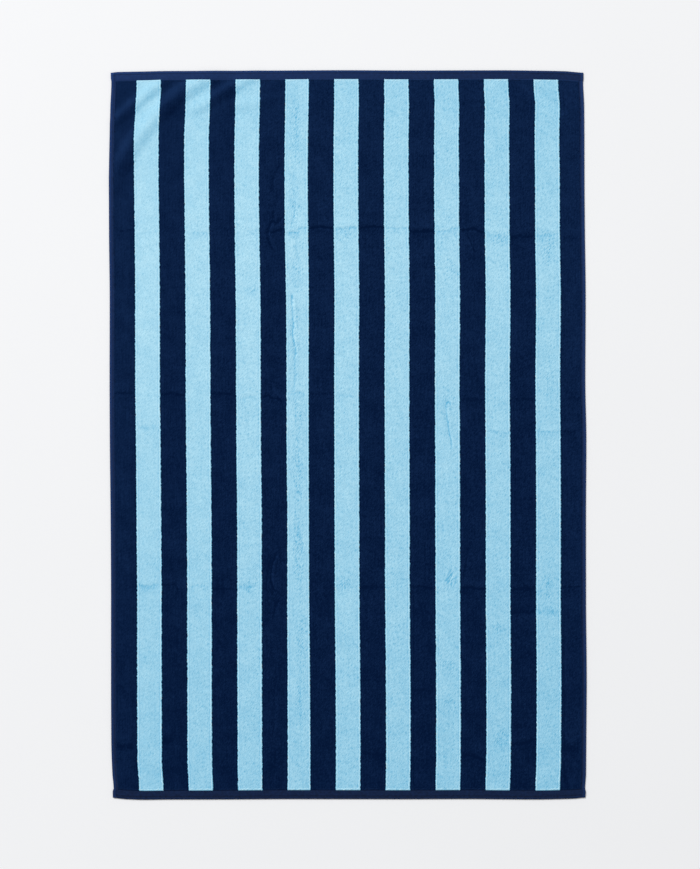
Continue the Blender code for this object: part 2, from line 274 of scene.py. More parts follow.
CRUSHED_PATCHES = (         # x and y of its middle, half width, half length, and share
    (217, -302, 18, 28, 1.5),
    (326, -646, 14, 18, 0.2),
    (322, -409, 14, 12, 0.2),
    (420, -310, 14, 18, 0.25),
)
WORN_PATCHES = (
    (-110, 640, 17, 115, 0.9),
    (-113, 480, 17, 80, 0.8),
    (-108, 350, 17, 90, 0.6),
    (-112, 200, 17, 110, 0.8),
    (-106, 45, 17, 60, 0.9),
    (-106, -60, 18, 125, 1.1),
    (-104, -240, 18, 130, 1.1),
    (-98, -430, 17, 90, 1.0),
    (-100, -560, 15, 90, 0.7),
    (-98, -680, 14, 60, 0.1),
    (212, 74, 18, 26, 0.8),
    (-211, -318, 22, 20, 0.7),
    (-9, -314, 20, 22, 1.1),
    (322, -640, 20, 26, 1.1),
    (318, -405, 20, 20, 0.8),
    (420, -310, 16, 20, 1.0),
    (430, -372, 14, 14, 1.0),
    (424, -336, 16, 14, 0.8),
    (213, -485, 20, 22, 0.8),
    (215, -560, 18, 30, 0.7),
    (422, 395, 24, 50, 0.9),
    (216, 350, 16, 30, 0.7),
    (320, 413, 24, 22, 0.9),
    (424, 120, 14, 60, 0.4),
    (-6, 418, 24, 22, 0.7),
)

# ---- Hems, in mm from the edge of the cloth

EDGE_ROUND = 0.9            # how far the turned edge rounds in, above and below
HEM_ROLL = 0.15             # how far a hem's middle stands over its edges
SEWN_DEPTH = 0.5            # how far stitches draw the cloth in
SEWN_HALF_WIDTH = 1.1
FOOT_DEPTH = 0.35           # how far the inner edge of a hem is drawn in beside the pile
FOOT_HALF_WIDTH = 1.2
PILE_STEP = 1.8             # width of the slope from a hem up to the pile
CORNER_TURN = 0.7           # extra height where a side hem is turned over the end hem
HEM_FADE = 1.5              # width over which a hem's own height fades at its inner edge
HEM_RELIEF = 0.35           # share of a fold mark's height that reaches into a hem

# ---- Mesh lines, in mm

EDGE_LINES = (0.0, 0.1, 0.4, 0.9)       # round the turned edge
END_HEM_LINES = (2.2, 3.6, 4.8, 5.6, 6.2, 6.8, 7.6, 10.0, 13.0, 16.0)
SIDE_HEM_LINES = (2.0, 3.4, 4.8, 5.6, 6.2, 6.8)
PILE_FOOT_LINES = (-0.6, 0.0, 0.5, 1.1, 1.8, 2.6, 4.5)      # from a hem's inner edge
CREASE_ZONES = ((-182, -86), (198, 228))    # places across the towel with finer mesh lines
FOLD_ZONES = ((-680, -640), (-335, -300), (74, 92), (412, 442))     # the same along it
FINE_PITCH = 2.7
UNDERSIDE_STEP = 5          # top mesh lines for each one below

# ---- Rows of tufts and stitches, in metres

TUFT_INSET = 0.0026         # tufts that edge a stripe lie this far inside it
END_TUFT_INSET = 0.0036     # and those that edge the pile, from the hem
ROW_END_INSET = 0.0062      # a row across a stripe ends clear of the rows along it
ROW_POINTS = 160            # points of a lengthwise line that a row follows
ROW_STEP = 0.01             # and distance between those of a crosswise one
ROW_LIFT = 0.01             # both lie this far above the floor until they are set down
DROP_HEIGHT = 0.05          # a row is set down on the cloth from this far above itself

# ---- Finish

STRIPE_TOOTH = (0.028, 0.007)   # length and width of the teeth of a stripe's edge, in metres
PAINTED_LIGHT_FACING = (-0.35, 0.94, 0.0)    # slopes facing this way, to the top end and a little left, are painted lighter
STEEPEST_PAINTED_SLOPE = 0.22         # slope past which its painted light or shade grows no more
LIGHT_TUFT_DEPTH = 0.15     # how far the light blue of loose tufts goes towards the deep one
NAVY_YARN_PALENESS = 0.25   # and the navy of tufts and loops towards the pale one

# ---- Stage

FLOOR_HALF_SIZE = 15.0
FLOOR_DROP = 0.0002         # the floor lies this far below the towel, so that their faces part
CAMERA_PLACE = (0.0043, 0.0010, 4.0)
CAMERA_LENS = 78.7          # mm, on a sensor 36 mm along the frame's longer side
CAMERA_REACH = 60.0
KEY_LIGHT_PLACE = (-9.0, 12.0, 15.0)
KEY_LIGHT_SIZE = 5.0
KEY_LIGHT_POWER = 3280.0    # watts
SKY_COLOUR = (0.97, 0.985, 1.0, 1.0)
SKY_STRENGTH = 0.52


def linear(hex_colour):
    """Linear RGBA of an sRGB hex colour."""
    values = [int(hex_colour[k:k + 2], 16) / 255 for k in (1, 3, 5)]
    return [v / 12.92 if v <= 0.04045 else ((v + 0.055) / 1.055) ** 2.4 for v in values] + [1.0]


def between(colour, other, share):
    """Colour that lies between two others."""
    return [a + (b - a) * share for a, b in zip(colour, other)]


def length(name, default, description):
    """A length that a user may change."""
    return FloatProperty(name=name, description=description, default=default, unit="LENGTH")


def dye(name, hex_colour, description):
    """A colour that a user may change."""
    return FloatVectorProperty(
        name=name, description=description, default=linear(hex_colour), subtype="COLOR", size=4
    )


class TowelSizes(bpy.types.PropertyGroup):
    """Sizes of the towel's cloth, pile and sewing."""

    stripe_width: length("Stripe Width", 0.0528, "Width of each stripe on the flat cloth")
    pile_thickness: length(
        "Pile Thickness", 0.0036, "Thickness of the ground weave with its loops and sheared pile"
    )
    hem_thickness: length("Hem Thickness", 0.0026, "Thickness of the turned and sewn hems")
    end_hem: length("End Hem", 0.018, "Width of the hem across each end")
    side_hem: length("Side Hem", 0.008, "Width of the hem along each side")
    mesh_pitch: length("Mesh Pitch", 0.0053, "Distance between the mesh lines of the pile")
    seam_inset: length("Seam Inset", 0.0062, "How far the rows of stitches lie in from the edge")
    stitch_pitch: length("Stitch Pitch", 0.0032, "Length of a stitch with the gap after it")
    tuft_pitch: length("Tuft Pitch", 0.0062, "Distance between the pile tufts that edge a stripe")
    seed: IntProperty(name="Seed", description="Seed of all that is uneven by chance", default=7)


class TowelColours(bpy.types.PropertyGroup):
    """Dyed colours of the towel, and the colour of the floor it lies on."""

    light_blue: dye("Light Blue", "#BBE4F3", "Pile of the lighter stripes")
    light_blue_deep: dye(
        "Light Blue, Deep", "#63B1D5", "Lighter pile where it is parted and its depth shows"
    )
    navy: dye(
        "Navy", "#001232",
        "Pile of the darker stripes where it is parted or lies away from the light",
    )
    navy_pale: dye("Navy, Pale", "#18325B", "Darker pile where its fibre tips catch the light")
    hem_navy: dye("Hem Navy", "#12274E", "Flat-woven navy cloth of the hems")
    thread: dye("Thread", "#14264F", "Sewing thread of the hems")
    floor: dye("Floor", "#F0F0F1", "Plain pale floor")


# ---- The cloth's form

class SmoothLine:
    """Smooth curve through rows of places and values, in metres, that never overshoots a row."""

    def __init__(self, places, values):
        self.places, self.values = places, values
        grades = np.diff(values) / np.diff(places)
        before, after = grades[:-1], grades[1:]
        same_way = before * after > 0
        total = np.where(same_way, before + after, 1.0)
        self.slopes = np.zeros(len(places))
        self.slopes[1:-1] = np.where(same_way, 2 * before * after / total, 0.0)

    def __call__(self, place):
        k = np.clip(np.searchsorted(self.places, place), 1, len(self.places) - 1)
        span = self.places[k] - self.places[k - 1]
        p = np.clip((place - self.places[k - 1]) / span, 0.0, 1.0)
        rise = p * p * (3 - 2 * p)
        leave = p * (1 - p) ** 2 * span * self.slopes[k - 1]
        arrive = p * p * (p - 1) * span * self.slopes[k]
        return self.values[k - 1] * (1 - rise) + self.values[k] * rise + leave + arrive


def smooth_lines(table):
    """A smooth line for each column of a table, over the places in its first one."""
    places, *columns = np.array(table).T * MM
    return [SmoothLine(places, column) for column in columns]


LEFT_INSET, RIGHT_INSET = smooth_lines(SIDE_EDGES)
BOTTOM_INSET, TOP_INSET = smooth_lines(END_EDGES)
CREEP = smooth_lines(STRIPE_CREEP)


def rounded(distance, half_width):
    """Profile of a ridge or a trough: 1 in the middle, 0 from half_width outwards."""
    s = np.clip(np.abs(distance) / half_width, 0.0, 1.0)
    return (1 - s * s) ** 2


def smooth_step(value):
    """Soft step from 0 to 1 as the value goes from 0 to 1."""
    s = np.clip(value, 0.0, 1.0)
    return s * s * (3 - 2 * s)


def left_edge(y):
    return -HALF_WIDTH + LEFT_INSET(y)


def right_edge(y):
    return HALF_WIDTH - RIGHT_INSET(y)


def bottom_edge(x):
    return -HALF_LENGTH + BOTTOM_INSET(x)


def top_edge(x):
    return HALF_LENGTH - TOP_INSET(x)


def half_flat_width(sizes):
    """Half the width of the flat cloth."""
    return STRIPE_COUNT * sizes.stripe_width / 2


def place_across(u, y, sizes):
    """Where a lengthwise line of the flat cloth lies across the towel, at a place along it."""
    half_flat = half_flat_width(sizes)
    lines = [(-half_flat, left_edge(y))]
    for stripes, creep in zip(CREPT_EDGES, CREEP):
        even_place = stripes * sizes.stripe_width
        lines.append((even_place, even_place + creep(y)))
    lines.append((half_flat, right_edge(y)))
    x = np.zeros(np.broadcast(u, y).shape)
    for (flat_a, lies_a), (flat_b, lies_b) in zip(lines, lines[1:]):
        share = (u - flat_a) / (flat_b - flat_a)
        inside = (share >= -ROUNDING) & (share <= 1 + ROUNDING)
        x = np.where(inside, lies_a + (lies_b - lies_a) * share, x)
    return x


def corner_fold_height(x, y):
    """Height of the corners' soft folds at places of the towel."""
    height = np.zeros(x.shape)
    for *ends, bow, ridge, half_width in CORNER_FOLDS:
        start, end = np.reshape(ends, (2, 2)) * MM
        run = end - start
        run_length = np.hypot(*run)
        forward = run / run_length
        p = ((x - start[0]) * forward[0] + (y - start[1]) * forward[1]) / run_length
        aside = (x - start[0]) * forward[1] - (y - start[1]) * forward[0]
        aside = aside - bow * MM * 4 * p * (1 - p)
        fade = np.where((p > 0) & (p < 1), 1 - (2 * p - 1) ** 4, 0.0)
        height += ridge * MM * fade * rounded(aside, half_width * MM)
    return height


def beside_mark(x, y, places):
    """How far x, y lies to the left of a mark's line as it runs, and how strong it is there."""
    steps = np.diff(places, axis=0)
    lengths = np.hypot(steps[:, 0], steps[:, 1])
    run = np.concatenate([[0.0], np.cumsum(lengths)])
    nearest = np.full(x.shape, np.inf)
    aside, along = np.zeros(x.shape), np.zeros(x.shape)
    for k, step in enumerate(steps):
        away_x, away_y = x - places[k, 0], y - places[k, 1]
        share = (away_x * step[0] + away_y * step[1]) / lengths[k] ** 2
        share = np.clip(share, 0.0, 1.0)
        distance = np.hypot(away_x - share * step[0], away_y - share * step[1])
        left = step[0] * away_y - step[1] * away_x
        closer = distance < nearest
        nearest = np.where(closer, distance, nearest)
        aside = np.where(closer, np.copysign(distance, left), aside)
        along = np.where(closer, run[k] + share * lengths[k], along)
    return aside, smooth_step(np.minimum(along, run[-1] - along) / (MARK_END * MM))


def pressed_marks(x, y):
    """Relief that the marks press into the pile, and the nearest mark beside each place.

    The last three are how far the place lies to its left, in its half widths, its strength there,
    and how much painted shade it lays on the pile.
    """
    relief, nearest, strength, mark_shade = (np.zeros(x.shape) for _ in range(4))
    for full_strength, half_width, *places in MARKS:
        places = np.reshape(places, (-1, 2)) * MM
        shade_reach = (PAINTED_SHADE_REACH + 2 * half_width) * MM
        reach = max(half_width * MARK_REACH * MM, shade_reach)
        low, high = places.min(axis=0), places.max(axis=0)
        crosswise = (high[0] - low[0]) / np.sum(high - low)
        low, high = low - reach, high + reach
        near = (x > low[0]) & (x < high[0]) & (y > low[1]) & (y < high[1])
        aside, share = beside_mark(x[near], y[near], places)
        here = full_strength * share
        mark_shade[near] = np.maximum(mark_shade[near], here * crosswise * rounded(aside, shade_reach))
        aside = aside / (half_width * MM)
        relief[near] += here * MM * (
            RIDGE_HEIGHT * rounded(aside - RIDGE_PLACE, RIDGE_REACH)
            - TROUGH_DEPTH * rounded(aside, TROUGH_REACH)
        )
        here = here * rounded(aside, MARK_REACH)
        stronger = here > strength[near]
        nearest[near] = np.where(stronger, aside, nearest[near])
        strength[near] = np.where(stronger, here, strength[near])
    return relief, nearest, strength, mark_shade


def patch_share(x, y, patches):
    """How far the pile is crushed or worn at places of the towel, by a table of patches."""
    share = np.zeros(x.shape)
    for middle_x, middle_y, half_width, half_length, full_share in patches:
        aside = (x / MM - middle_x) / half_width
        away = (y / MM - middle_y) / half_length
        share = np.maximum(share, full_share * rounded(np.hypot(aside, away), 1.0))
    return share


def edge_distances(x, y):
    """How far places lie in from the nearer side and from the nearer end."""
    from_side = np.minimum(x - left_edge(y), right_edge(y) - x)
    from_end = np.minimum(y - bottom_edge(x), top_edge(x) - y)
    return from_side, from_end


def past_hem(x, y, sizes):
    """How far places lie in from the inner edge of the nearest hem."""
    from_side, from_end = edge_distances(x, y)
    return np.minimum(from_side - sizes.side_hem, from_end - sizes.end_hem)


def pile_share(x, y, sizes):
    """1 in the pile and 0 in the hems, with a short slope between them."""
    return smooth_step(past_hem(x, y, sizes) / (PILE_STEP * MM))


def cloth_heights(x, y, sizes):
    """Heights of the cloth's underside and of its top at places of the towel."""
    from_side, from_end = edge_distances(x, y)
    in_end_hem = smooth_step((sizes.end_hem - from_end) / (HEM_FADE * MM))
    in_side_hem = smooth_step((sizes.side_hem - from_side) / (HEM_FADE * MM))
    pile = pile_share(x, y, sizes)
    roll = rounded(from_end - sizes.seam_inset / 2, sizes.seam_inset / 2) * in_end_hem
    roll = np.maximum(roll, rounded(from_side - sizes.side_hem / 2, sizes.side_hem / 2))
    sewn = SEWN_DEPTH * rounded(from_end - sizes.seam_inset, SEWN_HALF_WIDTH * MM)
    side_sewn = SEWN_DEPTH * rounded(from_side - sizes.seam_inset, SEWN_HALF_WIDTH * MM)
    sewn = np.maximum(sewn * (1 - in_side_hem), side_sewn * (1 - in_end_hem))
    foot = rounded(past_hem(x, y, sizes), FOOT_HALF_WIDTH * MM)
    hem_top = sizes.hem_thickness + MM * (
        HEM_ROLL * roll - sewn - FOOT_DEPTH * foot + CORNER_TURN * in_side_hem * in_end_hem
    )
    relief = pressed_marks(x, y)[0]
    thickness = hem_top * (1 - pile) + sizes.pile_thickness * pile
    thickness = thickness + relief * (HEM_RELIEF + (1 - HEM_RELIEF) * pile)
    lift = corner_fold_height(x, y)
    from_edge = np.minimum(from_side, from_end) / (EDGE_ROUND * MM)
    bulge = np.sqrt(1 - (1 - np.clip(from_edge, 0.0, 1.0)) ** 2)
    edge_middle = sizes.hem_thickness / 2
    underside = np.maximum(lift, 0.0) + edge_middle * (1 - bulge)
    top = lift + edge_middle + (thickness - edge_middle) * bulge
    return underside, top


def hem_lines(lines_inside, hem_width):
    """Distances in from an edge of the mesh lines of its hem and the foot of the pile."""
    foot = [hem_width / MM + line for line in PILE_FOOT_LINES]
    return [line * MM for line in (*EDGE_LINES, *lines_inside, *foot)]


def mesh_lines(keys, zones, pitch):
    """Places of mesh lines: all the keys, with even steps between, finer in the zones."""
    keys = sorted([*keys, *(edge * MM for zone in zones for edge in zone)])
    lines = []
    for before, after in zip(keys, keys[1:]):
        fine = any(low * MM < after and before < high * MM for low, high in zones)
        steps = max(1, round((after - before) / (FINE_PITCH * MM if fine else pitch)))
        lines += [before + (after - before) * step / steps for step in range(steps)]
    return np.array(lines + [keys[-1]])


def mesh_places(sizes):
    """Where the mesh lines cross: x, y and u, v on the flat cloth, in rows from the bottom."""
    half_flat = half_flat_width(sizes)
    hem = hem_lines(SIDE_HEM_LINES, sizes.side_hem)
    keys = [side * (half_flat - line) for side in (-1, 1) for line in hem]
    keys += [(k - STRIPE_COUNT / 2) * sizes.stripe_width for k in range(1, STRIPE_COUNT)]
    u = mesh_lines(keys, CREASE_ZONES, sizes.mesh_pitch)
    hem = hem_lines(END_HEM_LINES, sizes.end_hem)
    keys = [side * (FLAT_LENGTH / 2 - line) for side in (-1, 1) for line in hem]
    v = mesh_lines(keys, FOLD_ZONES, sizes.mesh_pitch) + FLAT_LENGTH / 2
    u, v = np.meshgrid(u, v)
    x = place_across(u, v - FLAT_LENGTH / 2, sizes)
    for _ in range(4):          # x and y hang on each other, and settle in a few rounds
        low, high = bottom_edge(x), top_edge(x)
        y = low + (high - low) * v / FLAT_LENGTH
        x = place_across(u, y, sizes)
    return x, y, u + half_flat, v


def thinned(count):
    """Mesh lines that the underside keeps: all round the turned edge, and a few between."""
    edge = len(EDGE_LINES)
    middle = range(edge - 1 + UNDERSIDE_STEP, count - edge, UNDERSIDE_STEP)
    return [*range(edge), *middle, *range(count - edge, count)]


def cloth_mesh(sizes):
    """The towel's closed sheet: a fine top and a plainer underside that share their rim."""
    x, y, u, v = mesh_places(sizes)
    under, top = cloth_heights(x, y, sizes)
    row_count, column_count = x.shape
    number = np.arange(x.size).reshape(x.shape)
    quads = np.stack(
        [number[:-1, :-1], number[:-1, 1:], number[1:, 1:], number[1:, :-1]], -1
    ).reshape(-1, 4)

    kept_rows, kept_columns = thinned(row_count), thinned(column_count)
    inner = np.ix_(kept_rows[1:-1], kept_columns[1:-1])
    below = number.copy()
    below[inner] = x.size + np.arange(below[inner].size).reshape(below[inner].shape)
    points = np.concatenate([
        np.stack([x, y, top], -1).reshape(-1, 3),
        np.stack([x[inner], y[inner], under[inner]], -1).reshape(-1, 3),
    ])
    flat = np.concatenate([
        np.stack([u, v], -1).reshape(-1, 2),
        np.stack([u[inner], v[inner]], -1).reshape(-1, 2),
    ])
    under_faces, rim = [], []
    last_row, last_column, edge = row_count - 1, column_count - 1, len(EDGE_LINES) - 1
    for r, next_r in zip(kept_rows, kept_rows[1:]):
        for c, next_c in zip(kept_columns, kept_columns[1:]):
            low = below[r, c:next_c + 1] if r == 0 else below[r, [c, next_c]]
            right_end = next_c == last_column
            right = below[r:next_r + 1, next_c] if right_end else below[[r, next_r], next_c]
            top_end = next_r == last_row
            high = below[next_r, c:next_c + 1] if top_end else below[next_r, [c, next_c]]
            left = below[r:next_r + 1, c] if c == 0 else below[[r, next_r], c]
            outline = [*low[:-1], *right[:-1], *high[:0:-1], *left[:0:-1]]
            under_faces.append([int(k) for k in reversed(outline)])
            rim.append(
                r < edge or next_r > last_row - edge or c < edge or next_c > last_column - edge
            )

    mesh = bpy.data.meshes.new("velour_cloth")
    mesh.from_pydata(points.tolist(), [], quads.tolist() + under_faces)
    mesh.validate()
    cloth_map = mesh.uv_layers.new(name=CLOTH_MAP)
    corners = np.empty(len(mesh.loops), dtype=np.int32)
    mesh.loops.foreach_get("vertex_index", corners)
    cloth_map.uv.foreach_set("vector", flat[corners].astype(np.float32).ravel())

    places = points[:, 0], points[:, 1]
    pile = pile_share(*places, sizes)
    pile[x.size:] = 0.0
    _, mark_aside, mark_strength, mark_dusk = pressed_marks(*places)
    centres = points[quads].mean(axis=1)
    in_hem = pile_share(centres[:, 0], centres[:, 1], sizes) < 0.5
    below_cloth = [False] * len(quads) + [not at_rim for at_rim in rim]
    for name, kind, domain, values in (
        ("pile", "FLOAT", "POINT", pile),
        ("crushed", "FLOAT", "POINT", patch_share(*places, CRUSHED_PATCHES)),
        ("worn", "FLOAT", "POINT", patch_share(*places, WORN_PATCHES)),
        ("mark_aside", "FLOAT", "POINT", mark_aside),
        ("mark_strength", "FLOAT", "POINT", mark_strength),
        ("mark_dusk", "FLOAT", "POINT", mark_dusk),
        ("hem", "BOOLEAN", "FACE", np.concatenate([in_hem, rim])),
        ("underside", "BOOLEAN", "FACE", below_cloth),
    ):
        mesh.attributes.new(name, kind, domain).data.foreach_set("value", values)
    mesh.shade_smooth()
    return mesh


# ---- Nodes

def add_node(tree, kind, *values, **named):
    """Adds a node with its settings and links. A shader node's kind is given without ShaderNode.

    The values go in turn to the inputs that its settings leave on. A keyword with a capital is an
    input's name too, with _ for each space, and any other keyword is a setting. An input takes a
    constant, a socket, or a node whose first output is meant.
    """
    node = tree.nodes.new(kind if "Node" in kind else "ShaderNode" + kind)
    inputs = {name: named.pop(name) for name in list(named) if name[0].isupper()}
    for name, value in named.items():
        setattr(node, name, value)
    filled = list(zip([socket for socket in node.inputs if socket.enabled], values))
    filled += [(node.inputs[name.replace("_", " ")], value) for name, value in inputs.items()]
    for socket, value in filled:
        if isinstance(value, bpy.types.Node):
            value = next(output for output in value.outputs if output.enabled)
        if isinstance(value, bpy.types.NodeSocket):
            tree.links.new(value, socket)
        else:
            socket.default_value = value
    return node


def add_weighted(add, start, *terms):
    """Adds nodes for start plus each term's value times its weight."""
    total = start
    for value, weight in terms:
        total = add("Math", value, weight, total, operation="MULTIPLY_ADD")
    return total


def add_bands(add, place, *bands):
    """Adds nodes for soft bands of places: each is 1 in its middle and 0 from its half width."""
    shares = []
    for middle, half_width in bands:
        away = add("Math", place, middle, operation="SUBTRACT")
        away = add("Math", away, operation="ABSOLUTE")
        shares.append(
            add("MapRange", away, 0.0, half_width, 1.0, 0.0, interpolation_type="SMOOTHSTEP")
        )
    return shares


def new_tree(name, inputs):
    """A geometry node tree, what adds its nodes, and the sockets of its named inputs.

    inputs gives the default of each number, and the kind of each other input.
    """
    tree = bpy.data.node_groups.new(name, "GeometryNodeTree")
    tree.interface.new_socket("Geometry", in_out="INPUT", socket_type="NodeSocketGeometry")
    for label, value in inputs.items():
        kind = value if isinstance(value, str) else type(value).__name__.title()
        socket = tree.interface.new_socket(label, in_out="INPUT", socket_type="NodeSocket" + kind)
        if kind != value:
            socket.default_value = value
    tree.interface.new_socket("Geometry", in_out="OUTPUT", socket_type="NodeSocketGeometry")
    add = partial(add_node, tree)
    return tree, add, add("NodeGroupInput").outputs


def run_tree(piece, tree, values):
    """Runs a geometry node tree on a piece and keeps the result as its plain mesh."""
    modifier = piece.modifiers.new(tree.name, "NODES")
    modifier.node_group = tree
    for item in tree.interface.items_tree:
        if item.in_out == "INPUT" and item.name in values:
            modifier[item.identifier] = values[item.name]
    view = bpy.context.evaluated_depsgraph_get()
    made = bpy.data.meshes.new_from_object(
        piece.evaluated_get(view), preserve_all_data_layers=True, depsgraph=view
    )
    if not made.polygons:
        raise RuntimeError(f"{piece.name}: its node tree made no faces")
    if made.materials[0] is None:
        made.materials.pop(index=0)
    piece.modifiers.remove(modifier)
    piece.data = made
    made.name = piece.name


def new_piece(name, mesh):
    """An object of a mesh, in the scene."""
    piece = bpy.data.objects.new(name, mesh)
    bpy.context.scene.collection.objects.link(piece)
    return piece


def new_material(name):
    """An empty material, and what adds its nodes."""
    material = bpy.data.materials.new(name)
    material.use_nodes = True
    material.node_tree.nodes.clear()
    return material, partial(add_node, material.node_tree)


# ---- Materials
#
# A MapRange's numbers are From Min, From Max, To Min and To Max, and a noise's its scale, detail
# and roughness. Lengths are in metres.

def stripe_nodes(add, sizes):
    """Nodes for the cloth's map, and for how far inside the nearest light stripe a place lies.

    The distance is below 0 outside it. The stripes are dyed yarns, so their edges are toothed by
    the size of a pile tuft.
    """
    cloth_map = add("UVMap", uv_map=CLOTH_MAP)
    stretched = add("Mapping", cloth_map, Scale=(*STRIPE_TOOTH, 1.0), vector_type="TEXTURE")
    teeth = add("TexNoise", stretched, 1.0, 3.0, 0.75, noise_dimensions="2D")
    shift = add("MapRange", teeth, 0.2, 0.8, -0.0018, 0.0008)
    across, _, _ = add("SeparateXYZ", cloth_map).outputs
    centred = add("Math", across, half_flat_width(sizes), operation="SUBTRACT")
    from_middle = add("Math", centred, sizes.stripe_width, operation="PINGPONG")
    inside = add_weighted(add, shift, (from_middle, -1.0), (sizes.stripe_width, 0.5))
    return cloth_map, inside


def velour_material(sizes, colours):
    """Sheared cotton velour: loops cut level into a dense matt nap.

    The cut fibre ends trap light, so it has almost no gloss and a faint sheen at low angles. The
    nap lies in short strokes where it was brushed, and shows deeper colour where it is parted.
    """
    material, add = new_material("sheared_cotton_velour")
    cloth_map, inside = stripe_nodes(add, sizes)
    across, along, _ = add("SeparateXYZ", cloth_map).outputs
    crushed, worn, aside, strength, mark_shade, slope_light = (
        add("Attribute", attribute_name=name).outputs["Fac"]
        for name in ("crushed", "worn", "mark_aside", "mark_strength", "mark_dusk", "nap_lean")
    )
    light_share = add("MapRange", inside, -0.0003, 0.0003, interpolation_type="SMOOTHSTEP")
    # Dapples, 4 cm across, are where the nap leans this way or that. Jags, of 6 mm, roughen the
    # pressed marks, and in the cells of 5.5 mm a few tufts are missing or pressed down.
    dapples, jags, pit_cells = (
        add("TexNoise", cloth_map, 1 / size, detail, roughness, noise_dimensions="2D")
        for size, detail, roughness in ((0.040, 2.5, 0.6), (0.006, 2.0, 0.5), (0.0055, 1.0, 0.5))
    )
    pits = add("MapRange", pit_cells, 0.68, 0.80, 0.0, 0.3)
    # Brushed strokes of the nap slant up to the right, and its rows show as fine lengthwise ribs.
    # The last are the coarser strokes of crushed pile.
    strokes, fine_strokes, ribs, crush_strokes = (
        add("TexNoise", add("Mapping", cloth_map, Rotation=(0.0, 0.0, math.radians(angle)),
                            Scale=(length, width, 1.0), vector_type="TEXTURE"),
            1.0, detail, roughness, noise_dimensions="2D")
        for angle, length, width, detail, roughness in (
            (50, 0.0120, 0.0042, 2.0, 0.65),
            (58, 0.0078, 0.0016, 1.0, 0.65),
            (90, 0.0600, 0.0014, 0.0, 0.65),
            (62, 0.0150, 0.0032, 0.5, 0.50),
        )
    )
    # Tufts are about 2 mm apart, and each has its own shade.
    tuft_place = add(
        "Mapping", cloth_map, Rotation=(0.0, 0.0, math.radians(48)),
        Scale=(0.0021, 0.0015, 1.0), vector_type="TEXTURE",
    )
    tufts = add("TexVoronoi", tuft_place, Scale=1.0, Randomness=0.9, voronoi_dimensions="2D")
    tuft_shade = add("SeparateColor", tufts.outputs["Color"])
    # Crushed pile shows deeper strokes, and pile worn along the crease finer ones and streaks.
    crush_share = add("MapRange", crush_strokes, 0.38, 0.64, -0.3, 0.7)
    crush = add("Math", crushed, crush_share, operation="MULTIPLY")
    wear_share = add("MapRange", fine_strokes, 0.45, 0.70, -0.24, 0.73)
    wear_share = add_weighted(add, wear_share, (ribs, 0.50))
    wear = add("Math", worn, wear_share, operation="MULTIPLY")
    # A pressed mark is a jagged dark line of painted crease shade, with painted shade, streaked
    # where crushed, on one side and a painted highlight on the other.
    jagged = add_weighted(add, -0.9, (aside, 1.0), (jags, 1.8))
    crease_shade, painted_highlight = add_bands(add, jagged, (0.0, 1.1), (1.9, 2.0))
    speckled = add_weighted(add, 0.75, (crush_share, 0.5))
    crease_shade = add("Math", crease_shade, speckled, operation="MULTIPLY")
    line = add_weighted(add, 0.0, (crease_shade, 0.9), (painted_highlight, -0.18))
    line = add("Math", line, strength, operation="MULTIPLY")
    painted_fold_shade = add("MapRange", jagged, -0.6, 1.0, 1.0, 0.1, interpolation_type="SMOOTHSTEP")
    painted_fold_shade = add("Math", painted_fold_shade, mark_shade, operation="MULTIPLY")
    streaked = add_weighted(add, 0.6, (crush_share, 1.0))
    painted_fold_shade = add("Math", painted_fold_shade, streaked, operation="MULTIPLY")
    # The outermost row of light tufts leans over the navy. The row is painted paler as lit, its
    # outer edge deeper as its shaded side, and the navy beside it darker as their painted shade.
    # Behind it the pile is parted along a dark line, and the navy pile stands up paler past the
    # painted shade.
    parting, rim, painted_fringe_shade, shade, pale_edge = add_bands(
        add, inside,
        (0.0045, 0.0015), (0.0026, 0.0020), (0.0001, 0.0012), (-0.0015, 0.0022), (-0.0048, 0.0017),
    )
    # Painted light: the pile is lighter towards the top left, where the light falls, less so near
    # the top end and at the bottom left. Its grain is smoother at the top left corner, and the
    # navy pile of the two outermost stripes is a little paler.
    near_top = add("MapRange", along, 1.20, 1.45)
    leftness = add("MapRange", across, 0.45, 0.05)
    lowness = add("MapRange", along, 1.10, 0.20)
    low_left = add("Math", leftness, lowness, operation="MULTIPLY")
    smooth_corner = add("Math", leftness, near_top, operation="MULTIPLY")
    from_side = add("Math", across, half_flat_width(sizes), operation="PINGPONG")
    outermost = add("MapRange", from_side, 0.050, 0.040, 0.0, 1.0)
    grain_share = add("MapRange", across, 0.05, 0.30, 0.7, 1.0)
    grain_share = add_weighted(add, grain_share, (smooth_corner, -0.35))
    grain = add_weighted(add, -0.37, (fine_strokes, 0.52), (tuft_shade, 0.22))
    grain = add("Math", grain, grain_share, operation="MULTIPLY")
    # Where the light pile opens, a few strokes are thin and deep.
    hatching = add("MapRange", fine_strokes, 0.56, 0.76, -0.03, 0.22)
    hatching = add("Math", hatching, grain_share, operation="MULTIPLY")
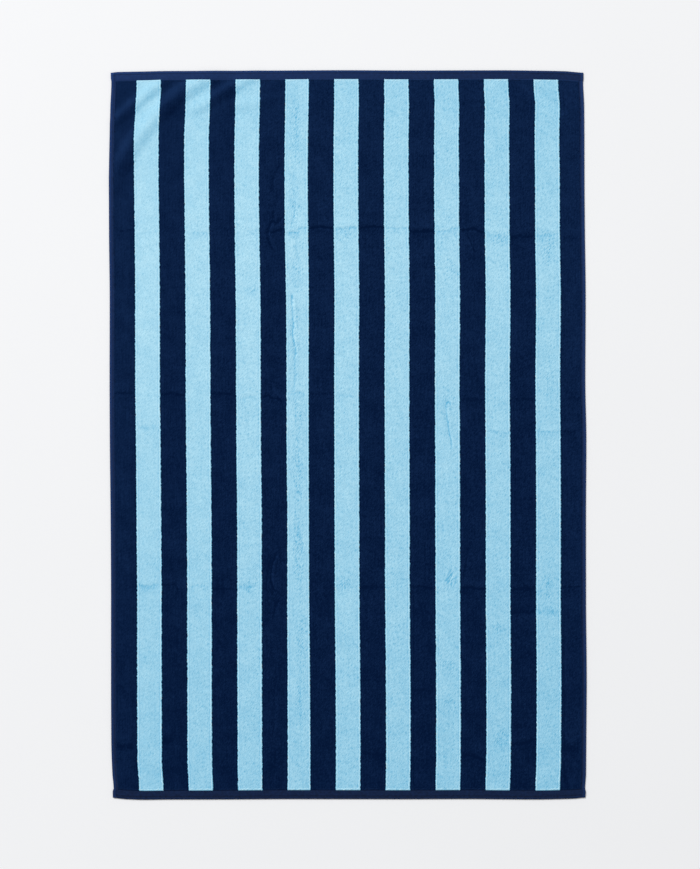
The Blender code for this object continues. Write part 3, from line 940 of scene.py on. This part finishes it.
    # Painted light and shade: slopes of the pile that face the top end, where the light comes
    # from, are painted lighter, and those that face away darker.
    painted_slope_steepness = add("Math", slope_light, operation="ABSOLUTE")
    # Painted light and shade in the depth: the slope terms, the marks' line and fold shade, the
    # rim and fringe, and the terms across and along the towel.
    depth = add_weighted(
        add, 0.188,
        (dapples, 0.30), (strokes, 0.10), (ribs, 0.12), (grain, 0.64), (hatching, 1.2),
        (crush, 0.60), (wear, 0.45), (line, 0.30), (painted_fold_shade, 0.22), (pits, 0.45),
        (parting, 0.22), (rim, -0.20), (painted_fringe_shade, 0.7), (slope_light, -0.6), (painted_slope_steepness, 0.68),
        (across, 0.17), (along, -0.17), (near_top, 0.14), (low_left, 0.10),
    )
    light_pile = add("Mix", depth, colours.light_blue, colours.light_blue_deep, data_type="RGBA")
    light_gain = add_weighted(add, 1.09, (tuft_shade, -0.09), (fine_strokes, -0.09))
    light_pile = add("VectorMath", light_pile, light_gain, operation="SCALE")
    # The navy's paleness holds painted light and shade too: the slope terms, the marks' line and
    # fold shade, the shade beside light stripes, and the term along the towel.
    paleness = add_weighted(
        add, 0.427,
        (dapples, -0.32), (strokes, -0.13), (ribs, -0.20), (grain, -1.20), (crush, -0.10),
        (line, -0.42), (painted_fold_shade, -0.13), (shade, -0.11), (pale_edge, 0.09), (outermost, 0.06),
        (along, 0.105), (slope_light, 1.28), (painted_slope_steepness, 0.6),
    )
    navy_pile = add("Mix", paleness, colours.navy, colours.navy_pale, data_type="RGBA")
    colour = add("Mix", light_share, navy_pile, light_pile, data_type="RGBA")
    tuft_tops = add_weighted(add, depth, (tufts, 0.6))
    bump = add("Bump", Height=tuft_tops, Distance=0.0003, Strength=0.6, invert=True)
    shader = add(
        "BsdfPrincipled", colour, Normal=bump, Roughness=0.95, Specular_IOR_Level=0.04,
        Sheen_Weight=0.02, Sheen_Roughness=0.5, Sheen_Tint=linear("#C4E1FF"),
    )
    add("OutputMaterial", shader)
    return material


def hem_material(sizes, colours):
    """Flat-woven cotton, turned and sewn: smoother and lighter than the pile, finely ribbed."""
    material, add = new_material("flat_woven_cotton_hem")
    cloth_map = add("UVMap", uv_map=CLOTH_MAP)
    across, along, _ = add("SeparateXYZ", cloth_map).outputs
    # Threads are 0.5 mm apart, drawn at 1.6 mm so that they show.
    threads = add(
        "TexVoronoi", cloth_map, Scale=1 / 0.0016, Randomness=0.35, voronoi_dimensions="2D"
    )
    slubs = add("TexNoise", cloth_map, 1 / 0.006, 3.0, 0.7, noise_dimensions="2D")
    # The turned sides are worn paler, and the turned ends paler too, by more towards the top end.
    from_side = add("Math", across, half_flat_width(sizes), operation="PINGPONG")
    from_end = add("Math", along, FLAT_LENGTH / 2, operation="PINGPONG")
    worn_side = add("MapRange", from_side, 0.0055, 0.0077, 1.0, 0.0)
    end_edge_paleness = add("MapRange", from_end, 0.0035, 0.0057, 1.0, 0.0)
    end_edge_paleness = add("Math", end_edge_paleness, along, operation="MULTIPLY")
    # Painted light: the hem of the top end is lighter towards the left, and all hems lighter
    # towards the top end, where the light falls.
    on_end = add("Math", from_end, sizes.end_hem, operation="LESS_THAN")
    painted_light_leftwards = add("Math", 0.5, across, operation="SUBTRACT")
    for share in (along, on_end):
        painted_light_leftwards = add("Math", painted_light_leftwards, share, operation="MULTIPLY")
    # The cloth is drawn in and dark along the stitches.
    from_edge = add("Math", from_side, from_end, operation="MINIMUM")
    from_seam = add("Math", from_edge, sizes.seam_inset, operation="SUBTRACT")
    from_seam = add("Math", from_seam, operation="ABSOLUTE")
    drawn_in = add("MapRange", from_seam, 0.0004, 0.0018, 1.0, 0.0)
    # Painted light is in the gain as the along and leftwards terms.
    gain = add_weighted(
        add, 0.35,
        (slubs, 0.8), (threads, -0.25), (worn_side, 0.45), (end_edge_paleness, 0.22), (drawn_in, -0.30),
        (along, 0.30), (painted_light_leftwards, 0.35),
    )
    colour = add("VectorMath", colours.hem_navy[:3], gain, operation="SCALE")
    bump = add("Bump", Height=threads, Distance=0.0002, Strength=0.8, invert=True)
    shader = add(
        "BsdfPrincipled", colour, Normal=bump, Roughness=0.8, Specular_IOR_Level=0.10,
        Sheen_Weight=0.05, Sheen_Tint=linear("#CBE1FF"),
    )
    add("OutputMaterial", shader)
    return material


def terry_material(sizes, colours):
    """Looped cotton terry of the underside, in the same dyed stripes: small uncut loops."""
    material, add = new_material("looped_cotton_terry")
    cloth_map, inside = stripe_nodes(add, sizes)
    light_share = add("MapRange", inside, -0.0003, 0.0003)
    # Loops are 2 mm apart.
    loops = add("TexVoronoi", cloth_map, Scale=1 / 0.002, Randomness=0.8, voronoi_dimensions="2D")
    navy = between(colours.navy, colours.navy_pale, NAVY_YARN_PALENESS)
    yarn = add("Mix", light_share, navy, colours.light_blue, data_type="RGBA")
    gain = add_weighted(add, 1.1, (loops, -0.5))
    colour = add("VectorMath", yarn, gain, operation="SCALE")
    bump = add("Bump", Height=loops, Distance=0.0012, invert=True)
    shader = add("BsdfPrincipled", colour, Normal=bump, Roughness=0.95, Specular_IOR_Level=0.1)
    add("OutputMaterial", shader)
    return material


def yarn_material(name, colour, unevenness, roughness, specular):
    """Cotton yarn in one dyed colour, a little uneven, for tufts and stitches."""
    material, add = new_material(name)
    place = add("TexCoord").outputs["Object"]
    uneven = add("TexNoise", place, Scale=1 / 0.003, Detail=2.0)
    gain = add("MapRange", uneven, 0.3, 0.7, 1.0 - unevenness, 1.0 + unevenness)
    shade = add("VectorMath", colour[:3], gain, operation="SCALE")
    shader = add("BsdfPrincipled", shade, Roughness=roughness, Specular_IOR_Level=specular)
    add("OutputMaterial", shader)
    return material


def floor_material(colours):
    """Plain matt painted floor, its paint uneven by less than shows."""
    material, add = new_material("matt_painted_floor")
    place = add("TexCoord").outputs["Object"]
    clouds = add("TexNoise", place, Scale=2.0, Detail=2.0)
    gain = add("MapRange", clouds, 0.0, 1.0, 0.99, 1.01)
    shade = add("VectorMath", colours.floor[:3], gain, operation="SCALE")
    shader = add("BsdfPrincipled", shade, Roughness=0.9, Specular_IOR_Level=0.1)
    add("OutputMaterial", shader)
    return material


# ---- Geometry node trees

def nap_tree():
    """Makes the sheared top uneven, notes its slopes for painted light and shade, and lays the
    materials on.
    """
    tree, add, given = new_tree("sheared_nap", {
        "Wave Height": 0.0004, "Wave Size": 0.11,
        "Dapple Height": 0.0003, "Dapple Size": 0.03,
        "Nap Height": 0.00015, "Nap Size": 0.011,
        "Seed": 1,
        "Pile": "Material", "Hem": "Material", "Underside": "Material",
    })
    pile = add("GeometryNodeInputNamedAttribute", "pile", data_type="FLOAT")
    total = 0.0
    for label in ("Wave", "Dapple", "Nap"):
        scale = add("Math", 1.0, given[label + " Size"], operation="DIVIDE")
        uneven = add("TexNoise", W=given["Seed"], Scale=scale, Detail=1.0, noise_dimensions="4D")
        either_way = add("Math", uneven, 2.0, -1.0, operation="MULTIPLY_ADD")
        total = add_weighted(add, total, (either_way, given[label + " Height"]))
    rise = add("Math", pile, total, operation="MULTIPLY")
    offset = add("CombineXYZ", Z=rise)
    risen = add("GeometryNodeSetPosition", given["Geometry"], Offset=offset)
    # Painted light and shade: how far each slope of the pile faces the light at the top end.
    normal = add("GeometryNodeInputNormal")
    facing = add("VectorMath", normal, PAINTED_LIGHT_FACING, operation="DOT_PRODUCT")
    slope = add("Clamp", facing, -STEEPEST_PAINTED_SLOPE, STEEPEST_PAINTED_SLOPE)
    slope_light = add("Math", slope, pile, operation="MULTIPLY")
    noted = add(
        "GeometryNodeStoreNamedAttribute", risen, Name="nap_lean", Value=slope_light,
        data_type="FLOAT", domain="POINT",
    )
    made = add("GeometryNodeRealizeInstances", noted)
    dressed = add("GeometryNodeSetMaterial", made, Material=given["Pile"])
    for part in ("Hem", "Underside"):
        chosen = add("GeometryNodeInputNamedAttribute", part.lower(), data_type="BOOLEAN")
        dressed = add("GeometryNodeSetMaterial", dressed, chosen, given[part])
    add("NodeGroupOutput", dressed)
    return tree


def row_tree():
    """Sets a row of small soft shapes along each line of a piece, down on the cloth's top."""
    tree, add, given = new_tree("row_on_the_cloth", {
        "Cloth": "Object", "Material": "Material",
        "Pitch": 0.004, "Length": 0.003, "Width": 0.002, "Height": 0.001,
        "Sink": 0.0, "Scatter": 0.0, "Turn": 0.0, "Unlike": 0.0,
        "Seed": 1,
    })
    curves = add("GeometryNodeMeshToCurve", given["Geometry"])
    points = add("GeometryNodeCurveToPoints", curves, Length=given["Pitch"], mode="LENGTH")
    back = add("Math", given["Scatter"], -1.0, operation="MULTIPLY")
    low = add("CombineXYZ", back, back)
    high = add("CombineXYZ", given["Scatter"], given["Scatter"])
    strewn = add(
        "FunctionNodeRandomValue", low, high, Seed=given["Seed"], data_type="FLOAT_VECTOR"
    )
    spread = add("GeometryNodeSetPosition", points, Offset=strewn)
    # Each shape drops onto the cloth from above it, and sinks in a little.
    cloth = add("GeometryNodeObjectInfo", given["Cloth"], transform_space="ORIGINAL")
    place = add("GeometryNodeInputPosition")
    above = add("VectorMath", place, (0.0, 0.0, DROP_HEIGHT), operation="ADD")
    hit, landing, *_ = add(
        "GeometryNodeRaycast", cloth.outputs["Geometry"], Source_Position=above,
        Ray_Direction=(0.0, 0.0, -1.0), Ray_Length=2 * DROP_HEIGHT, data_type="FLOAT",
    ).outputs
    down = add("Math", given["Sink"], -1.0, operation="MULTIPLY")
    sunk = add("CombineXYZ", Z=down)
    laid = add("GeometryNodeSetPosition", spread, hit, landing, sunk)
    # It runs along its line, turned a little, and is larger or smaller than its neighbours.
    turn_back = add("Math", given["Turn"], -1.0, operation="MULTIPLY")
    turned = add(
        "FunctionNodeRandomValue", turn_back, given["Turn"], Seed=given["Seed"], data_type="FLOAT"
    )
    spin = add("CombineXYZ", Z=turned)
    along = add("FunctionNodeAlignRotationToVector", Vector=points.outputs["Tangent"], axis="X")
    facing = add("FunctionNodeRotateRotation", along, spin, rotation_space="LOCAL")
    smallest = add("Math", 1.0, given["Unlike"], operation="SUBTRACT")
    largest = add("Math", 1.0, given["Unlike"], operation="ADD")
    growth = add(
        "FunctionNodeRandomValue", smallest, largest, Seed=given["Seed"], data_type="FLOAT"
    )
    size = add("CombineXYZ", given["Length"], given["Width"], given["Height"])
    lump = add("GeometryNodeMeshUVSphere", Segments=6, Rings=4, Radius=0.5)
    shape = add("GeometryNodeTransform", lump, Scale=size)
    soft = add("GeometryNodeSetShadeSmooth", shape, Shade_Smooth=True)
    rows = add("GeometryNodeInstanceOnPoints", laid, Instance=soft, Rotation=facing, Scale=growth)
    made = add("GeometryNodeRealizeInstances", rows)
    dressed = add("GeometryNodeSetMaterial", made, Material=given["Material"])
    add("NodeGroupOutput", dressed)
    return tree


# ---- Lines that rows of tufts and stitches follow

def lengthwise_line(u, inset, sizes):
    """Places along a lengthwise line of the flat cloth, this far in from both its ends."""
    y = np.linspace(-HALF_LENGTH, HALF_LENGTH, ROW_POINTS)
    x = place_across(u, y, sizes)
    low, high = bottom_edge(x) + inset, top_edge(x) - inset
    y = low + (high - low) * np.linspace(0.0, 1.0, ROW_POINTS)
    return place_across(u, y, sizes), y


def crosswise_lines(u_start, u_end, inset, sizes):
    """Places along two lines across the flat cloth, this far in from its bottom and top ends."""
    u = np.linspace(u_start, u_end, max(4, int((u_end - u_start) / ROW_STEP)))
    lines = []
    for edge, inwards in ((bottom_edge, inset), (top_edge, -inset)):
        x = place_across(u, np.zeros(1), sizes)
        for _ in range(3):      # as in mesh_places
            x = place_across(u, edge(x) + inwards, sizes)
        lines.append((x, edge(x) + inwards))
    return lines


def line_mesh(name, lines):
    """A mesh of edges that run along lines, a little above the cloth."""
    points, edges = [], []
    for x, y in lines:
        first = len(points)
        points += [(a, b, ROW_LIFT) for a, b in zip(x.tolist(), y.tolist())]
        edges += [(k, k + 1) for k in range(first, len(points) - 1)]
    mesh = bpy.data.meshes.new(name)
    mesh.from_pydata(points, edges, [])
    return mesh


# ---- Operators

class BEACH_TOWEL_OT_velour_cloth(bpy.types.Operator):
    """Make the towel's cloth: one sheet with its folds, hems and sheared pile"""

    bl_idname = "beach_towel.velour_cloth"
    bl_label = "Velour Cloth"

    def execute(self, context):
        sizes, colours = context.scene.towel_sizes, context.scene.towel_colours
        cloth = new_piece("velour_cloth", cloth_mesh(sizes))
        run_tree(cloth, nap_tree(), {
            "Seed": sizes.seed,
            "Pile": velour_material(sizes, colours),
            "Hem": hem_material(sizes, colours),
            "Underside": terry_material(sizes, colours),
        })
        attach(cloth, BODY)
        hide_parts(NODE)
        return {"FINISHED"}


class BEACH_TOWEL_OT_edge_tufts(bpy.types.Operator):
    """Set tufts of pile along the edges of the stripes and round the pile"""

    bl_idname = "beach_towel.edge_tufts"
    bl_label = "Edge Tufts"

    def execute(self, context):
        sizes, colours = context.scene.towel_sizes, context.scene.towel_colours
        cloth = bpy.data.objects["velour_cloth"]
        tree = row_tree()
        stripe_edges = [
            (k - STRIPE_COUNT / 2) * sizes.stripe_width for k in range(STRIPE_COUNT + 1)
        ]
        pile_end = sizes.end_hem + END_TUFT_INSET
        pile_side = stripe_edges[-1] - sizes.side_hem
        row_start = pile_end + END_TUFT_INSET / 2
        light_lines = [
            lengthwise_line(u + TUFT_INSET * (-1) ** k, row_start, sizes)
            for k, u in enumerate(stripe_edges[1:-1])
        ]
        navy_lines = [
            lengthwise_line(side * (pile_side - TUFT_INSET), row_start, sizes)
            for side in (-1, 1)
        ]
        for k, (start, end) in enumerate(zip(stripe_edges, stripe_edges[1:])):
            start = max(start, -pile_side) + ROW_END_INSET
            end = min(end, pile_side) - ROW_END_INSET
            lines = light_lines if k % 2 else navy_lines
            lines += crosswise_lines(start, end, pile_end, sizes)
        light_blue = between(colours.light_blue, colours.light_blue_deep, LIGHT_TUFT_DEPTH)
        navy = between(colours.navy, colours.navy_pale, NAVY_YARN_PALENESS)
        for name, lines, colour, unevenness in (
            ("light_edge_tufts", light_lines, light_blue, 0.08),
            ("navy_edge_tufts", navy_lines, navy, 0.3),
        ):
            tufts = new_piece(name, line_mesh(name, lines))
            run_tree(tufts, tree, {
                "Cloth": cloth,
                "Material": yarn_material(
                    "cotton_pile_" + name, colour, unevenness, roughness=0.95, specular=0.08
                ),
                "Pitch": sizes.tuft_pitch,
                "Length": 0.0092,
                "Width": 0.0027,
                "Height": 0.0015,
                "Sink": 0.0004,
                "Scatter": 0.0004,
                "Turn": math.radians(20),
                "Unlike": 0.35,
                "Seed": sizes.seed,
            })
            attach(tufts, BODY)
        return {"FINISHED"}


class BEACH_TOWEL_OT_hem_stitches(bpy.types.Operator):
    """Sew the hems with rows of stitches"""

    bl_idname = "beach_towel.hem_stitches"
    bl_label = "Hem Stitches"

    def execute(self, context):
        sizes, colours = context.scene.towel_sizes, context.scene.towel_colours
        side = half_flat_width(sizes) - sizes.seam_inset
        lines = crosswise_lines(-side, side, sizes.seam_inset, sizes)
        lines += [lengthwise_line(u, sizes.seam_inset, sizes) for u in (-side, side)]
        stitches = new_piece("hem_stitches", line_mesh("hem_stitches", lines))
        run_tree(stitches, row_tree(), {
            "Cloth": bpy.data.objects["velour_cloth"],
            "Material": yarn_material(
                "spun_sewing_thread", colours.thread, 0.1, roughness=0.6, specular=0.3
            ),
            "Pitch": sizes.stitch_pitch,
            "Length": 0.0026,
            "Width": 0.0005,
            "Height": 0.0005,
            "Turn": math.radians(2),
            "Unlike": 0.05,
            "Seed": sizes.seed,
        })
        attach(stitches, BODY)
        return {"FINISHED"}


class BEACH_TOWEL_OT_stage(bpy.types.Operator):
    """Lay the floor and set up the light and the camera"""

    bl_idname = "beach_towel.stage"
    bl_label = "Floor, Light and Camera"

    def execute(self, context):
        scene = context.scene
        corners = [
            (x * FLOOR_HALF_SIZE, y * FLOOR_HALF_SIZE, -FLOOR_DROP)
            for x, y in ((-1, -1), (1, -1), (1, 1), (-1, 1))
        ]
        mesh = bpy.data.meshes.new("floor")
        mesh.from_pydata(corners, [], [(0, 1, 2, 3)])
        mesh.materials.append(floor_material(scene.towel_colours))
        new_piece("floor", mesh)

        key_data = bpy.data.lights.new("key_light", "AREA")
        key_data.shape = "SQUARE"
        key_data.size = KEY_LIGHT_SIZE
        key_data.energy = KEY_LIGHT_POWER
        key = new_piece("key_light", key_data)
        key.location = KEY_LIGHT_PLACE
        key.rotation_euler = (-Vector(KEY_LIGHT_PLACE)).to_track_quat("-Z", "Y").to_euler()

        world = bpy.data.worlds.new("soft_surroundings")
        world.use_nodes = True
        world.node_tree.nodes.clear()
        sky = add_node(world.node_tree, "Background", SKY_COLOUR, SKY_STRENGTH)
        add_node(world.node_tree, "OutputWorld", sky)
        scene.world = world

        camera_data = bpy.data.cameras.new("camera")
        camera_data.lens = CAMERA_LENS
        camera_data.clip_end = CAMERA_REACH
        camera = new_piece("camera", camera_data)
        camera.location = CAMERA_PLACE
        scene.camera = camera
        scene.view_settings.view_transform = "Standard"
        return {"FINISHED"}


class BEACH_TOWEL_PT_panel(bpy.types.Panel):
    """Lists what makes the beach towel, with its sizes and colours"""

    bl_idname = "BEACH_TOWEL_PT_panel"
    bl_label = "Beach Towel"
    bl_space_type = "VIEW_3D"
    bl_region_type = "UI"
    bl_category = "Beach Towel"

    def draw(self, context):
        layout = self.layout
        for operator in OPERATORS:
            layout.operator(operator.bl_idname)
        for group in (context.scene.towel_sizes, context.scene.towel_colours):
            box = layout.box()
            for name in group.bl_rna.properties.keys():
                if name not in ("rna_type", "name"):
                    box.prop(group, name)


OPERATORS = (
    BEACH_TOWEL_OT_velour_cloth,
    BEACH_TOWEL_OT_edge_tufts,
    BEACH_TOWEL_OT_hem_stitches,
    BEACH_TOWEL_OT_stage,
)
CLASSES = (TowelSizes, TowelColours, *OPERATORS, BEACH_TOWEL_PT_panel)


def register():
    for made_class in CLASSES:
        bpy.utils.register_class(made_class)
    bpy.types.Scene.towel_sizes = PointerProperty(type=TowelSizes)
    bpy.types.Scene.towel_colours = PointerProperty(type=TowelColours)


def unregister():
    del bpy.types.Scene.towel_colours
    del bpy.types.Scene.towel_sizes
    for made_class in reversed(CLASSES):
        bpy.utils.unregister_class(made_class)


def main():
    register()
    bpy.ops.beach_towel.velour_cloth()
    bpy.ops.beach_towel.edge_tufts()
    bpy.ops.beach_towel.hem_stitches()
    bpy.ops.beach_towel.stage()


if __name__ == "__main__":
    main()
